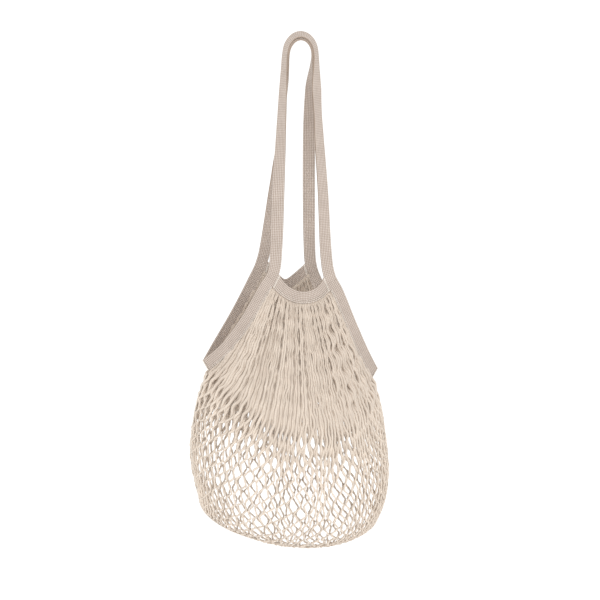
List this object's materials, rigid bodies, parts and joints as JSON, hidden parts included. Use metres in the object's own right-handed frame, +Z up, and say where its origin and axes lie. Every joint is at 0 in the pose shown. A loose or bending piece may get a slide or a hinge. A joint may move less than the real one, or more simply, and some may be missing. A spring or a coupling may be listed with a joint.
{
  "type": "mesh produce bag",
  "caption": "Open-mouthed knotless net bag for produce, with knitted tape rims, side bindings and two long shoulder handles, hanging in its filled shape.",
  "frame": {"origin": "the hook point: the middle of the underside of the two handle arches, where the bag hangs", "axes": "+Z up along the plumb line, +X across the bag to the right as seen from the front, -Y towards the front"},
  "size_m": [0.272, 0.1812, 0.6854],
  "materials": {
    "net_cord": "matte twisted cotton cord",
    "knit_tape": "matte ribbed cotton knit",
    "sewing_thread": "matte cotton thread"
  },
  "bodies": {
    "bag": {"net_front": "net_cord", "net_back": "net_cord", "front_rim_band": "knit_tape", "back_rim_band": "knit_tape", "side_tape_front_left": "knit_tape", "side_tape_front_right": "knit_tape", "side_tape_back_left": "knit_tape", "side_tape_back_right": "knit_tape", "side_seam_left": "sewing_thread", "side_seam_right": "sewing_thread", "bottom_seam": "sewing_thread", "tape_join_left": "sewing_thread", "tape_join_right": "sewing_thread", "rim_seam_front_left": "sewing_thread", "rim_seam_front_right": "sewing_thread", "rim_seam_back_left": "sewing_thread", "rim_seam_back_right": "sewing_thread", "front_rim_stitching": "sewing_thread", "back_rim_stitching": "sewing_thread", "side_tape_front_left_stitching": "sewing_thread", "side_tape_front_right_stitching": "sewing_thread", "side_tape_back_left_stitching": "sewing_thread", "side_tape_back_right_stitching": "sewing_thread"},
    "front_handle": {"front_handle": "knit_tape"},
    "back_handle": {"back_handle": "knit_tape"}
  },
  "joints": [
    {"name": "front_handle_swing", "type": "hinge", "parent": "bag", "child": "front_handle", "pos_m": [0, -0.032, -0.296], "axis": [0.995, 0, -0.0995], "range_deg": [0, 105]},
    {"name": "back_handle_swing", "type": "hinge", "parent": "bag", "child": "back_handle", "pos_m": [0, 0.032, -0.296], "axis": [-0.995, 0, 0.0995], "range_deg": [0, 105]}
  ]
}
